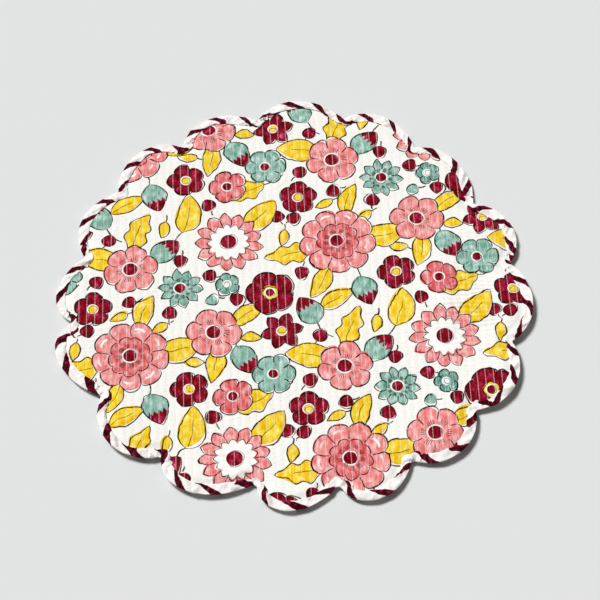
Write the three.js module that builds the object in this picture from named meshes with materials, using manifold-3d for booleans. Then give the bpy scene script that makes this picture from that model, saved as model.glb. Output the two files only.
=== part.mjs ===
// A round quilted cotton placemat with a scalloped rim, lying on a table.
// It has two pieces: the quilted cloth, sewn in straight channels, and the bias binding folded over its edge.
// Millimetres, +Z up. The origin is on the table, under the middle of the mat.
import * as THREE from "three";
import { mergeVertices } from "three/addons/utils/BufferGeometryUtils.js";
import Module from "manifold-3d";

// Scallops, counter-clockwise from the right-hand side, a row for each.
// turn: degrees by which its first notch stands off even spacing. notch: reach of that notch from the middle.
// tip: reach of its tip. lean: how far the tip leans on, as a share of the scallop's height. lift: how far
// the rim curls up off the table there.
const SCALLOPS = [
  { turn: -0.5, notch: 177.5, tip: 189.5, lean: 0, lift: 2.4 },
  { turn: -2, notch: 171.5, tip: 187.5, lean: 0.2, lift: 1.2 },
  { turn: 0, notch: 176, tip: 191.5, lean: 0.2, lift: 1 },
  { turn: -1, notch: 179, tip: 193, lean: 0.2, lift: 1.2 },
  { turn: 0, notch: 175.5, tip: 189.5, lean: 0.2, lift: 1 },
  { turn: 0, notch: 173.5, tip: 191.5, lean: -0.15, lift: 1.1 },
  { turn: 0, notch: 176.5, tip: 188.5, lean: 0.05, lift: 1 },
  { turn: 0, notch: 172.5, tip: 189, lean: 0.3, lift: 1.2 },
  { turn: -2.5, notch: 177, tip: 192.5, lean: -0.35, lift: 1.4 },
  { turn: -1.5, notch: 172, tip: 191, lean: 0, lift: 1.6 },
  { turn: 0, notch: 174, tip: 189, lean: -0.3, lift: 1.8 },
  { turn: 3, notch: 168, tip: 189, lean: -0.3, lift: 2.2 },
  { turn: 2, notch: 171, tip: 191.5, lean: -0.2, lift: 2.6 },
  { turn: -0.5, notch: 173.5, tip: 191, lean: -0.05, lift: 1.8 },
  { turn: -1, notch: 175.5, tip: 192, lean: -0.05, lift: 2.4 },
  { turn: -1.5, notch: 178, tip: 191.5, lean: -0.15, lift: 2.8 },
];
const FIRST_NOTCH_DEG = 7.2;
const NOTCH_FILLET = 2;
const FLAT_REACH = 122; // the mat lies flat on the table out to here
const FULL_LIFT_REACH = 190;

// Quilting
const CHANNEL_PITCH = 6.35;
const CREST_HEIGHT = 3.9;
const SEAM_HEIGHT = 3.1;
const CHANNEL_SECTION = [
  { across: 0, rise: 0 },
  { across: 0.3, rise: 1 },
  { across: 0.7, rise: 1 },
];

// Binding, folded round the pressed edge of the quilt
const BINDING_WIDTH = 9;
const BINDING_THICKNESS = 0.8;
const EDGE_ROUNDING = 1.2;
const CLEARANCE = 0.3;
const PRESSED_THICKNESS = 1.4;
const PRESSED_OVERLAP = 4; // the pressed edge runs this far on into the full quilt

// Steps
const LOBE_STEPS = 10;
const FILLET_STEPS = 3;
const CHANNEL_ROWS = 12;
const UNDERSIDE_CELLS = 18;
const CUT_REACH = 200; // the blocks that are cut to the outline reach past it
const CUT_DEPTH = 40;

const BINDING_HEIGHT = 2 * (BINDING_THICKNESS + CLEARANCE) + PRESSED_THICKNESS;
const PRESSED_BOTTOM = BINDING_THICKNESS + CLEARANCE;
const PITCH_DEG = 360 / SCALLOPS.length;

const wasm = await Module();
wasm.setup();

const polar = (reach, degrees) =>
  new THREE.Vector2(reach, 0).rotateAround(new THREE.Vector2(), THREE.MathUtils.degToRad(degrees));

const notchDegrees = (k) => {
  const turns = Math.floor(k / SCALLOPS.length);
  const row = k - turns * SCALLOPS.length;
  return FIRST_NOTCH_DEG + k * PITCH_DEG + SCALLOPS[row].turn;
};
const tipDegrees = (k) => (notchDegrees(k) + notchDegrees(k + 1)) / 2;

// Rim lift: each scallop's own at its tip, blended round the rim, and none over the flat middle.
function rimLift(x, y) {
  const degrees = THREE.MathUtils.radToDeg(Math.atan2(y, x));
  let k = Math.floor((degrees - FIRST_NOTCH_DEG) / PITCH_DEG) - 1;
  while (tipDegrees(k + 1) <= degrees) k += 1;
  const share = THREE.MathUtils.smoothstep(degrees, tipDegrees(k), tipDegrees(k + 1));
  const liftOf = (i) => SCALLOPS[THREE.MathUtils.euclideanModulo(i, SCALLOPS.length)].lift;
  const rim = THREE.MathUtils.lerp(liftOf(k), liftOf(k + 1), share);
  const out = THREE.MathUtils.clamp(
    (Math.hypot(x, y) - FLAT_REACH) / (FULL_LIFT_REACH - FLAT_REACH), 0, 1,
  );
  return rim * out * out;
}

// The circle through three points
function circleThrough(a, b, c) {
  const d = 2 * (a.x * (b.y - c.y) + b.x * (c.y - a.y) + c.x * (a.y - b.y));
  const [aa, bb, cc] = [a.lengthSq(), b.lengthSq(), c.lengthSq()];
  const centre = new THREE.Vector2(
    (aa * (b.y - c.y) + bb * (c.y - a.y) + cc * (a.y - b.y)) / d,
    (aa * (c.x - b.x) + bb * (a.x - c.x) + cc * (b.x - a.x)) / d,
  );
  return { centre, radius: centre.distanceTo(a) };
}

// Where a small circle touches two big ones from outside the mat
function filletCentre(one, two, radius) {
  const between = two.centre.clone().sub(one.centre);
  const span = between.length();
  const [r1, r2] = [one.radius + radius, two.radius + radius];
  const along = (span * span + r1 * r1 - r2 * r2) / (2 * span);
  const out = new THREE.Vector2(between.y, -between.x).divideScalar(span);
  return one.centre.clone()
    .addScaledVector(between, along / span)
    .addScaledVector(out, Math.sqrt(r1 * r1 - along * along));
}

const next = (list, k) => list[(k + 1) % list.length];

const lobes = SCALLOPS.map((row, k) => circleThrough(
  polar(row.notch, notchDegrees(k)),
  polar(row.tip, tipDegrees(k)),
  polar(next(SCALLOPS, k).notch, notchDegrees(k + 1)),
));
const fillets = lobes.map((lobe, k) => filletCentre(lobe, next(lobes, k), NOTCH_FILLET));

function arcPoints(centre, radius, from, to, steps) {
  return Array.from({ length: steps + 1 }, (_, i) => {
    const angle = from + ((to - from) * i) / steps;
    return new THREE.Vector2(Math.cos(angle), Math.sin(angle)).multiplyScalar(radius).add(centre);
  });
}

// One scallop from fillet to fillet: an arc of a circle, sheared along its chord so that it leans
function scallopPoints(k) {
  const lobe = lobes[k];
  const from = fillets.at(k - 1).clone().sub(lobe.centre).angle();
  let to = fillets[k].clone().sub(lobe.centre).angle();
  if (to < from) to += 2 * Math.PI;
  const points = arcPoints(lobe.centre, lobe.radius, from, to, LOBE_STEPS);
  const start = points[0].clone();
  const along = points[LOBE_STEPS].clone().sub(start).normalize();
  const out = new THREE.Vector2(along.y, -along.x);
  return points.map((point) => {
    const height = Math.max(0, point.clone().sub(start).dot(out));
    return point.addScaledVector(along, SCALLOPS[k].lean * height);
  });
}

// The small round notch after a scallop, without its two ends, which the scallops have
function notchPoints(k) {
  const start = lobes[k].centre.clone().sub(fillets[k]).angle();
  let end = next(lobes, k).centre.clone().sub(fillets[k]).angle();
  if (end > start) end -= 2 * Math.PI;
  return arcPoints(fillets[k], NOTCH_FILLET, start, end, FILLET_STEPS).slice(1, -1);
}

// The whole rim, counter-clockwise, moved so that its box has its middle on the origin
const rim = lobes.flatMap((_, k) => [...scallopPoints(k), ...notchPoints(k)]);
const middle = new THREE.Box2().setFromPoints(rim).getCenter(new THREE.Vector2());
rim.forEach((point) => point.sub(middle));

const outwardOf = (a, b) => new THREE.Vector2(b.y - a.y, a.x - b.x).normalize();

// The rim drawn in by a distance, with the same number of points for each distance
function outline(inward) {
  return rim.map((point, i) => {
    const before = outwardOf(rim.at(i - 1), point);
    const after = outwardOf(point, next(rim, i));
    const mitre = before.clone().add(after).divideScalar(1 + before.dot(after));
    return point.clone().addScaledVector(mitre, -inward);
  });
}

// A closed ring round the mat: a section of {inward, height} points carried round the outline
function ringGeometry(section) {
  const loops = section.map(({ inward }) => outline(inward));
  const count = loops[0].length;
  const positions = [];
  const indices = [];
  for (let i = 0; i < count; i += 1) {
    section.forEach(({ height }, j) => {
      const { x, y } = loops[j][i];
      positions.push(x, y, height + rimLift(x, y));
    });
  }
  const at = (i, j) => (i % count) * section.length + (j % section.length);
  for (let i = 0; i < count; i += 1) {
    for (let j = 0; j < section.length; j += 1) {
      indices.push(at(i, j), at(i + 1, j), at(i, j + 1));
      indices.push(at(i + 1, j), at(i + 1, j + 1), at(i, j + 1));
    }
  }
  return indexed(positions, indices);
}

function indexed(positions, indices) {
  const geometry = new THREE.BufferGeometry();
  geometry.setAttribute("position", new THREE.Float32BufferAttribute(positions, 3));
  geometry.setIndex(indices);
  return geometry;
}

// A block between two height surfaces over a grid
function blockGeometry(xs, ys, low, high) {
  const positions = [];
  const indices = [];
  [low, high].forEach((height) => {
    ys.forEach((y) => xs.forEach((x, i) => positions.push(x, y, height(x, y, i))));
  });
  const layer = xs.length * ys.length;
  const at = (i, j, level) => level * layer + j * xs.length + i;
  const quad = (a, b, c, d) => indices.push(a, b, c, a, c, d);
  const [w, h] = [xs.length - 1, ys.length - 1];
  for (let j = 0; j < h; j += 1) {
    for (let i = 0; i < w; i += 1) {
      quad(at(i, j, 1), at(i + 1, j, 1), at(i + 1, j + 1, 1), at(i, j + 1, 1));
      quad(at(i, j, 0), at(i, j + 1, 0), at(i + 1, j + 1, 0), at(i + 1, j, 0));
    }
  }
  for (let i = 0; i < w; i += 1) {
    quad(at(i, 0, 0), at(i + 1, 0, 0), at(i + 1, 0, 1), at(i, 0, 1));
    quad(at(i + 1, h, 0), at(i, h, 0), at(i, h, 1), at(i + 1, h, 1));
  }
  for (let j = 0; j < h; j += 1) {
    quad(at(w, j, 0), at(w, j + 1, 0), at(w, j + 1, 1), at(w, j, 1));
    quad(at(0, j + 1, 0), at(0, j, 0), at(0, j, 1), at(0, j + 1, 1));
  }
  return indexed(positions, indices);
}

function solid(geometry) {
  const bare = geometry.clone();
  bare.deleteAttribute("normal");
  bare.deleteAttribute("uv");
  const merged = mergeVertices(bare);
  return new wasm.Manifold(new wasm.Mesh({
    numProp: 3,
    vertProperties: new Float32Array(merged.attributes.position.array),
    triVerts: new Uint32Array(merged.index.array),
  }));
}

function geometryOf(body) {
  const { numProp, numVert, vertProperties, triVerts } = body.getMesh();
  const positions = [];
  for (let i = 0; i < numVert; i += 1) {
    positions.push(...vertProperties.subarray(i * numProp, i * numProp + 3));
  }
  return indexed(positions, Array.from(triVerts));
}

// Evenly spaced values from one side of the cut blocks to the other
const spread = (cells) =>
  Array.from({ length: cells + 1 }, (_, i) => -CUT_REACH + (2 * CUT_REACH * i) / cells);

// The quilted cloth: channels along Y, cut to the outline inside the binding, with its pressed edge round it
function quiltGeometry() {
  const channels = Math.ceil((2 * CUT_REACH) / CHANNEL_PITCH);
  const columns = [];
  for (let k = 0; k < channels; k += 1) {
    CHANNEL_SECTION.forEach(({ across, rise }) => {
      columns.push({ x: (k + across - channels / 2) * CHANNEL_PITCH, rise });
    });
  }
  const top = (x, y, i) =>
    THREE.MathUtils.lerp(SEAM_HEIGHT, CREST_HEIGHT, columns[i].rise) + rimLift(x, y);
  const underTop = blockGeometry(columns.map((c) => c.x), spread(CHANNEL_ROWS), () => -CUT_DEPTH, top);
  const cells = spread(UNDERSIDE_CELLS);
  const overBottom = blockGeometry(cells, cells, rimLift, () => CUT_DEPTH);
  const shape = new THREE.Shape(outline(BINDING_WIDTH + CLEARANCE));
  const prism = new THREE.ExtrudeGeometry(shape, { depth: CUT_DEPTH, bevelEnabled: false });
  prism.translate(0, 0, -CUT_DEPTH / 2);
  const pressed = ringGeometry([
    { inward: BINDING_WIDTH + PRESSED_OVERLAP, height: PRESSED_BOTTOM },
    { inward: EDGE_ROUNDING + CLEARANCE, height: PRESSED_BOTTOM },
    { inward: EDGE_ROUNDING + CLEARANCE, height: PRESSED_BOTTOM + PRESSED_THICKNESS },
    { inward: BINDING_WIDTH + PRESSED_OVERLAP, height: PRESSED_BOTTOM + PRESSED_THICKNESS },
  ]);
  const body = solid(underTop).intersect(solid(overBottom)).intersect(solid(prism)).add(solid(pressed));
  return geometryOf(body);
}

// The binding: a bias strip folded over the edge, its two arms on the top and the underside
function bindingGeometry() {
  return ringGeometry([
    { inward: BINDING_WIDTH, height: 0 },
    { inward: EDGE_ROUNDING / 2, height: 0 },
    { inward: 0, height: EDGE_ROUNDING / 2 },
    { inward: 0, height: BINDING_HEIGHT - EDGE_ROUNDING / 2 },
    { inward: EDGE_ROUNDING / 2, height: BINDING_HEIGHT },
    { inward: BINDING_WIDTH, height: BINDING_HEIGHT },
    { inward: BINDING_WIDTH, height: BINDING_HEIGHT - BINDING_THICKNESS },
    { inward: EDGE_ROUNDING, height: BINDING_HEIGHT - BINDING_THICKNESS },
    { inward: EDGE_ROUNDING, height: BINDING_THICKNESS },
    { inward: BINDING_WIDTH, height: BINDING_THICKNESS },
  ]);
}

function piece(name, geometry, color, roughness) {
  geometry.computeVertexNormals();
  const mesh = new THREE.Mesh(geometry, new THREE.MeshStandardMaterial({ color, roughness, metalness: 0 }));
  mesh.name = name;
  return mesh;
}

const placemat = new THREE.Group();
placemat.add(piece("quilted_cloth", quiltGeometry(), 0xf6f4ee, 0.9));
placemat.add(piece("scalloped_binding", bindingGeometry(), 0xefe9e6, 0.85));

export default placemat;
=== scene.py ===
# %% [markdown]
# # A quilted placemat with a scalloped rim
# The mat is two cotton faces with wadding between them, sewn together in straight channels of running
# stitch. A striped bias tape is folded over its scalloped edge. The upper face carries a block print of
# flowers. The frame gives the mat's place and size, and everything below is fitted to it.

# %% Load the frame
import math
from collections import namedtuple

import bpy
import numpy as np
from mathutils import Matrix, Vector, kdtree


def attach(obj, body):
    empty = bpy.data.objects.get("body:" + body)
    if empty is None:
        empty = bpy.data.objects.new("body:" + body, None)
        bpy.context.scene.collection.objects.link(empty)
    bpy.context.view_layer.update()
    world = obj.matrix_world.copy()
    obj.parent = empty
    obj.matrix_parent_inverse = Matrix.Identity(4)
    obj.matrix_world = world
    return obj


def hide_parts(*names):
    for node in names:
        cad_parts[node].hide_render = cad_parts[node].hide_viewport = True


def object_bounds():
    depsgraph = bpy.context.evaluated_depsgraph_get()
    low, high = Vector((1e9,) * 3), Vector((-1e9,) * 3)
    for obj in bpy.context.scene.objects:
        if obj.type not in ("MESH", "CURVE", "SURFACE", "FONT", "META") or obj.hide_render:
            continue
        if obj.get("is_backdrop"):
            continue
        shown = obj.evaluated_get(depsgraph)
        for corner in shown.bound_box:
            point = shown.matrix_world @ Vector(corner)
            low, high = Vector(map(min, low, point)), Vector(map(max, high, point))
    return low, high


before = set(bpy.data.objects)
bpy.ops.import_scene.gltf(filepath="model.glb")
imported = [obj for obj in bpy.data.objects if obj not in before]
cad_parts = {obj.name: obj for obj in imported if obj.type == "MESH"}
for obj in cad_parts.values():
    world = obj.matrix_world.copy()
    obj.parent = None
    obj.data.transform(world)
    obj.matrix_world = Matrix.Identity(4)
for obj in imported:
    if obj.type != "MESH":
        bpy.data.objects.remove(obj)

MM = 0.001  # sizes are written in millimetres, and Blender counts in metres
CAD_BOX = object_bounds()
print("CAD box in mm:", [[round(v / MM, 1) for v in corner] for corner in CAD_BOX])

# %% [markdown]
# ## The camera
# The photograph looks down on the mat from a little under 60 degrees, through a long lens, with the
# camera rolled by a few degrees. The roll is why the sewn lines lean to the left in the picture although
# they run straight away from the viewer. A small shift puts the mat a little off the picture's middle.

# %% Camera
ELEVATION = math.radians(59.16)
ROLL = math.radians(-2.75)
DISTANCE = 1525
AIM = (-1.1, 1.6, 3.0)
FOCAL_LENGTH = 114.3  # on a 36 mm sensor
SHIFT = (0.0138, -0.0122)  # as a share of the picture's width


def add_camera():
    data = bpy.data.cameras.new("camera")
    data.lens = FOCAL_LENGTH
    data.shift_x, data.shift_y = SHIFT
    camera = bpy.data.objects.new("camera", data)
    bpy.context.collection.objects.link(camera)
    back = Vector((0, -math.cos(ELEVATION), math.sin(ELEVATION)))
    place = Matrix.Translation((Vector(AIM) + back * DISTANCE) * MM)
    tilt = Matrix.Rotation(math.pi / 2 - ELEVATION, 4, "X")
    camera.matrix_world = place @ tilt @ Matrix.Rotation(ROLL, 4, "Z")
    bpy.context.scene.camera = camera
    return camera


print("camera at", [round(v, 3) for v in add_camera().matrix_world.translation])

# %% [markdown]
# ## The scalloped rim
# Each scallop is an arc of a circle through two notches and a tip, sheared a little so that it leans, and
# the notches are rounded. A spline drawn by hand could do it too, but a table of measured scallops is
# easier to correct. The plan is the frame's own. At the front and right the tips are lifted a little more
# than in the frame, which the shadow there asks for. A point of the plane is a complex number here,
# because turning, scaling and measuring in the plane are then plain arithmetic.

# %% Rim sizes
# A row holds the notch's degrees off the even spacing, how far notch and tip lie from the middle, the
# sideways shear, and how high the tip is lifted off the table.
Scallop = namedtuple("Scallop", "turn notch tip lean lift")
SCALLOPS = [
    Scallop(-0.5, 177.5, 189.5, 0, 2.4),
    Scallop(-2, 171.5, 187.5, 0.2, 1.2),
    Scallop(0, 176, 191.5, 0.2, 1),
    Scallop(-1, 179, 193, 0.2, 1.2),
    Scallop(0, 175.5, 189.5, 0.2, 1),
    Scallop(0, 173.5, 191.5, -0.15, 1.1),
    Scallop(0, 176.5, 188.5, 0.05, 1),
    Scallop(0, 172.5, 189, 0.3, 1.2),
    Scallop(-2.5, 177, 192.5, -0.35, 2.6),
    Scallop(-1.5, 172, 191, 0, 3.8),
    Scallop(0, 174, 189, -0.3, 3.4),
    Scallop(3, 168, 189, -0.3, 2.2),
    Scallop(2, 171, 191.5, -0.2, 2.4),
    Scallop(-0.5, 173.5, 191, -0.05, 2.9),
    Scallop(-1, 175.5, 192, -0.05, 3.6),
    Scallop(-1.5, 178, 191.5, -0.15, 3.8),
]
FIRST_NOTCH = 7.2  # degrees
NOTCH_FILLET = 2
LOBE_COUNT = len(SCALLOPS)


def notch_angle(k):
    return FIRST_NOTCH + k * 360 / LOBE_COUNT + SCALLOPS[k % LOBE_COUNT].turn


def tip_angle(k):
    return (notch_angle(k) + notch_angle(k + 1)) / 2


def polar(reach, degrees):
    return reach * np.exp(1j * np.radians(degrees))


# %% Arcs of the rim
def circle_through(a, b, c):
    """The centre and radius of the circle through three points."""
    ratio = (c - a) / (b - a)
    centre = a + (b - a) * (ratio - abs(ratio) ** 2) / (ratio - ratio.conjugate())
    return centre, abs(centre - a)


def fillet_between(one, two):
    """The centre of the small circle that rounds the notch between two scallops."""
    (c1, r1), (c2, r2) = one, two
    r1, r2, span = r1 + NOTCH_FILLET, r2 + NOTCH_FILLET, abs(c2 - c1)
    along = (span**2 + r1**2 - r2**2) / (2 * span)
    return c1 + (c2 - c1) / span * (along - 1j * math.sqrt(r1**2 - along**2))


def arc(centre, radius, start, end, steps):
    return centre + radius * np.exp(1j * np.linspace(start, end, steps + 1))


def scallop_arc(lobe, before, after, lean, steps):
    """A scallop's points from the fillet before it to the fillet after it, sheared by its lean."""
    centre, radius = lobe
    start, end = np.angle(before - centre), np.angle(after - centre)
    points = arc(centre, radius, start, end + (2 * np.pi if end < start else 0), steps)
    along = (points[-1] - points[0]) / abs(points[-1] - points[0])
    height = np.maximum(0, ((points - points[0]) * np.conj(along) * 1j).real)
    return points + lean * height * along


def rim_points(lobe_steps, notch_steps):
    """The rim, counter-clockwise, with its box centred on the origin."""
    lobes = [
        circle_through(
            polar(row.notch, notch_angle(k)),
            polar(row.tip, tip_angle(k)),
            polar(SCALLOPS[(k + 1) % LOBE_COUNT].notch, notch_angle(k + 1)),
        )
        for k, row in enumerate(SCALLOPS)
    ]
    fillets = [fillet_between(lobe, lobes[(k + 1) % LOBE_COUNT]) for k, lobe in enumerate(lobes)]
    pieces = []
    for k, lobe in enumerate(lobes):
        pieces.append(scallop_arc(lobe, fillets[k - 1], fillets[k], SCALLOPS[k].lean, lobe_steps))
        start = np.angle(lobe[0] - fillets[k])
        end = np.angle(lobes[(k + 1) % LOBE_COUNT][0] - fillets[k])
        turned = end - (2 * np.pi if end > start else 0)
        pieces.append(arc(fillets[k], NOTCH_FILLET, start, turned, notch_steps)[1:-1])
    rim = np.concatenate(pieces)
    middle = complex(rim.real.max() + rim.real.min(), rim.imag.max() + rim.imag.min()) / 2
    return rim - middle


# %% [markdown]
# The binding draws the front edge in a little, so the rim is moved in there. A lamp behind the mat shows
# such a millimetre clearly, as a wider band of shadow under the lifted edge.

# %% Rim outline
FRONT_SHRINKAGE = 1.5
FRONT_ANGLE = 275  # degrees, counted from the right
FRONT_SPREAD = 50  # the move is full within half as many degrees of the front, and gone beyond them


def smooth(share):
    share = np.clip(share, 0, 1)
    return share * share * (3 - 2 * share)


def drawn_in(rim, inward):
    """The rim moved inwards by a distance, which may differ from point to point."""
    ahead = np.roll(rim, -1) - rim
    after = -1j * ahead / abs(ahead)
    before = np.roll(after, 1)
    mitre = (before + after) / (1 + (before * np.conj(after)).real)
    return rim - inward * mitre


def shrunk_front(rim):
    from_front = abs(np.degrees(np.angle(rim)) % 360 - FRONT_ANGLE)
    return drawn_in(rim, FRONT_SHRINKAGE * smooth(2 - 2 * from_front / FRONT_SPREAD))


RIM = shrunk_front(rim_points(lobe_steps=48, notch_steps=12))
print("rim of", len(RIM), "points,", round(abs(np.roll(RIM, -1) - RIM).sum()), "mm round")

# %% [markdown]
# ## Measures on the mat
# Three small functions say what happens at any point: how far the rim has curled up there, how far in
# from the rim it is, and how an uneven hand has left it. The last is a smooth noise with a fixed seed, so
# the mat comes out the same each time.

# %% Lift of the rim
FLAT_REACH = 122  # the mat lies flat on the table as far as this from its middle
FULL_LIFT_REACH = 190


def rim_lift(points):
    numbers = range(-2, LOBE_COUNT + 1)
    tips = np.array([tip_angle(k) for k in numbers])
    lifts = np.array([SCALLOPS[k % LOBE_COUNT].lift for k in numbers])
    angle = np.degrees(np.angle(points)) % 360
    k = np.searchsorted(tips, angle, side="right") - 1
    share = smooth((angle - tips[k]) / (tips[k + 1] - tips[k]))
    at_rim = lifts[k] * (1 - share) + lifts[k + 1] * share
    out = np.clip((abs(points) - FLAT_REACH) / (FULL_LIFT_REACH - FLAT_REACH), 0, 1)
    return at_rim * out**2


lowest, highest = rim_lift(RIM).min(), rim_lift(RIM).max()
print("lift at the rim:", round(float(lowest), 1), "to", round(float(highest), 1), "mm")


# %% Distance in from the rim
def rim_tree():
    tree = kdtree.KDTree(len(RIM))
    for i, p in enumerate(RIM):
        tree.insert((p.real, p.imag, 0), i)
    tree.balance()
    return tree


RIM_TREE = rim_tree()


def inward_of(points):
    """Distance in from the rim, negative outside it, and FLAT_REACH in the flat middle."""
    order = np.argsort(np.angle(RIM))
    reach = np.interp(np.angle(points), np.angle(RIM)[order], abs(RIM)[order], period=2 * np.pi)
    inward = np.full(len(points), float(FLAT_REACH))
    for i in np.flatnonzero(abs(points) > FLAT_REACH):
        distance = RIM_TREE.find((points[i].real, points[i].imag, 0))[2]
        inward[i] = distance if abs(points[i]) < reach[i] else -distance
    return inward


# %% Uneven cloth
Waves = namedtuple("Waves", "height width length seed")
LATTICE = 512  # random values each way, more than the mat has waves


def uneven(points, waves):
    """Smooth random heights, up and down, of waves with a width along X and a length along Y."""
    lattice = np.random.default_rng(waves.seed).uniform(-1, 1, (LATTICE, LATTICE))
    x = points.real / waves.width + LATTICE / 2
    y = points.imag / waves.length + LATTICE / 2
    i, j = np.floor(x).astype(int), np.floor(y).astype(int)
    u, v = smooth(x - i), smooth(y - j)
    low = lattice[i, j] * (1 - u) + lattice[i + 1, j] * u
    high = lattice[i, j + 1] * (1 - u) + lattice[i + 1, j + 1] * u
    return waves.height * (low * (1 - v) + high * v)


# %% [markdown]
# ## The quilted face
# Wadding swells between the seams, so each channel is a long low cushion, and each stitch pulls the seam
# down. Where the cloth was gathered as it was sewn, cross puckers run over several channels, and they are
# deepest at the right. A few longer creases lie across the mat where it has been folded. Cloth simulation
# would pucker too, but not where the photograph does. All of it is a height over the plane, so a function
# of the place is the plainest way to make it.

# %% Quilting sizes
CHANNEL = 6.35
STITCH = 2.8
CREST = 3.75  # height of the face in the middle of a channel
SEAM = 3.63  # and on a seam
STITCH_DIP = 0.08
ARCHED = 0.3  # this share of a channel's swell is a plain arch, and the rest is flat with steep sides
STEEPNESS = 12
LONG_SWELL = Waves(0.3, CHANNEL, 34, 1)
SHORT_SWELL = Waves(0.2, CHANNEL, 9, 2)
UNDER_SEAM = 0.5  # height of the under side on a seam
UNDER_STEEPNESS = 2.4
PRESSED_TOP, PRESSED_UNDER = 2.1, 1.7  # heights of both sides under the binding
PRESSED_INWARD, FULL_INWARD = 7, 14  # between them the cloth swells from its pressed edge to the full
STITCH_SEED = 7
STITCH_STARTS = np.random.default_rng(STITCH_SEED).uniform(0, 1, LATTICE)  # the middle seam's is halfway


# %% Places in the quilting
def seam_phase(points):
    """Where a point lies across its channel: 0 and 1 on the seams, 0.5 on the crest."""
    across = points.real / CHANNEL
    return across - np.floor(across)


def stitch_start(seam):
    return STITCH_STARTS[seam + LATTICE // 2]


def stitch_phase(points):
    """Where a point lies along the nearest seam's stitches: 0 to 1 for each stitch."""
    seam = np.rint(points.real / CHANNEL).astype(int)
    return points.imag / STITCH + stitch_start(seam)


# %% Creases
Crease = namedtuple("Crease", "x y length turn height width")
CREASES = [
    Crease(150, 52, 46, 4, 0.45, 3.5),
    Crease(146, 34, 60, -3, 0.5, 4),
    Crease(158, 8, 40, 6, -0.4, 4),
    Crease(142, -16, 64, 2, 0.55, 4.5),
    Crease(150, -38, 50, -6, -0.45, 4),
    Crease(140, -58, 56, 5, 0.45, 4),
    Crease(-152, -22, 48, -5, 0.4, 4),
    Crease(-140, -48, 56, 3, -0.4, 5),
    Crease(-150, 78, 40, 12, 0.35, 4),
    Crease(-46, -146, 44, 82, 0.35, 4),
    Crease(28, -150, 40, 95, -0.35, 4),
    Crease(92, 140, 40, -40, 0.35, 5),
    Crease(122, -14, 130, 87, 0.6, 7),
    Crease(112, -12, 130, 88, 2.4, 26),
]
CREASE_WANDER, CREASE_BENDS = 1.5, 5  # how far a crease strays, and how often
CREASE_FADE = 1.4
SHARED_WAVES = Waves(0.25, 38, 52, 6)


def crease_height(points):
    height = np.zeros(len(points))
    for c in CREASES:
        local = (points - complex(c.x, c.y)) * np.exp(-1j * np.radians(c.turn))
        wander = CREASE_WANDER * np.sin(local.real / c.length * CREASE_BENDS + c.x)
        along = np.exp(-((2 * local.real / c.length) ** 2) * CREASE_FADE)
        height += c.height * along * np.exp(-(((local.imag - wander) / c.width) ** 2))
    return height


def shared_height(points):
    """Broad waves and creases, which the quilt and its binding share."""
    return uneven(points, SHARED_WAVES) + crease_height(points)


# %% Puckers
Zone = namedtuple("Zone", "x y reach_x reach_y strength")
PUCKER_ZONES = [
    Zone(146, -12, 36, 70, 1.1),
    Zone(-146, -43, 30, 34, 0.5),
    Zone(-58, -135, 26, 32, 0.55),
]
PUCKER, PUCKER_PITCH = 0.2, 4
PUCKER_EVERYWHERE = 0.12
PUCKER_PATCHES = Waves(0.08, 60, 45, 3)
PUCKER_WANDER = Waves(0.7, 15, 9, 4)
PUCKER_CHANGES = Waves(0.7, 9, 4, 5)


def pucker_height(points):
    strength = PUCKER_EVERYWHERE + uneven(points, PUCKER_PATCHES)
    for zone in PUCKER_ZONES:
        away_x, away_y = (points.real - zone.x) / zone.reach_x, (points.imag - zone.y) / zone.reach_y
        strength += zone.strength * np.exp(-(away_x**2 + away_y**2))
    phase = points.imag / PUCKER_PITCH + uneven(points, PUCKER_WANDER)
    return PUCKER * strength * (1 + uneven(points, PUCKER_CHANGES)) * np.cos(2 * np.pi * phase)


# %% Height of both sides
def fullness(inward):
    return smooth((inward - PRESSED_INWARD) / (FULL_INWARD - PRESSED_INWARD))


def face_height(points, inward):
    from_crest = abs(2 * seam_phase(points) - 1)
    rise = 1 - (ARCHED * from_crest**2 + (1 - ARCHED) * from_crest**STEEPNESS)
    swell = 1 + uneven(points, LONG_SWELL) + uneven(points, SHORT_SWELL)
    pulled = 0.5 - 0.5 * np.cos(2 * np.pi * stitch_phase(points))
    channels = SEAM + (CREST - SEAM) * rise * swell - STITCH_DIP * pulled * (1 - rise) ** 2
    full = channels + pucker_height(points) + shared_height(points)
    share = fullness(inward)
    return PRESSED_TOP * (1 - share) + full * share + rim_lift(points)


def under_height(points, inward):
    from_crest = abs(2 * seam_phase(points) - 1)
    share = fullness(inward)
    full = UNDER_SEAM * from_crest**UNDER_STEEPNESS
    return PRESSED_UNDER * (1 - share) + full * share + rim_lift(points)


# %% [markdown]
# The mesh is a grid whose columns follow the seams, so that each seam falls on an edge. The printed face
# has a fine grid, and the backing, which only the table sees, a coarse one. Both are cut to the rim in
# coarse cells. The stepped edge lies between the two arms of the binding, out of sight.

# %% Grids cut to the rim
HALF = CHANNEL / 2
GRID_REACH_X, GRID_REACH_Y = 192, 196  # just past the mat
CELLS_X = 2 * math.ceil(GRID_REACH_X / CHANNEL)  # half channels on each side of the middle
CELLS_Y = math.ceil(GRID_REACH_Y / STITCH)
ROWS, COLUMNS = 3, 2  # of fine faces in a cell
NEAR_SEAM = 0.26  # a fine column's distance from the seam, in half channels
EDGE_INWARD = 2.2


def fine_columns():
    columns = []
    for i in range(-CELLS_X, CELLS_X):
        step = NEAR_SEAM if i % 2 == 0 else 1 - NEAR_SEAM
        columns += [i * HALF, (i + step) * HALF]
    return np.array(columns + [CELLS_X * HALF])


def grid(xs, ys):
    """Points of a grid, row by row, and the number of points in a row."""
    x, y = np.meshgrid(xs, ys)
    return (x + 1j * y).ravel(), len(xs)


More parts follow.
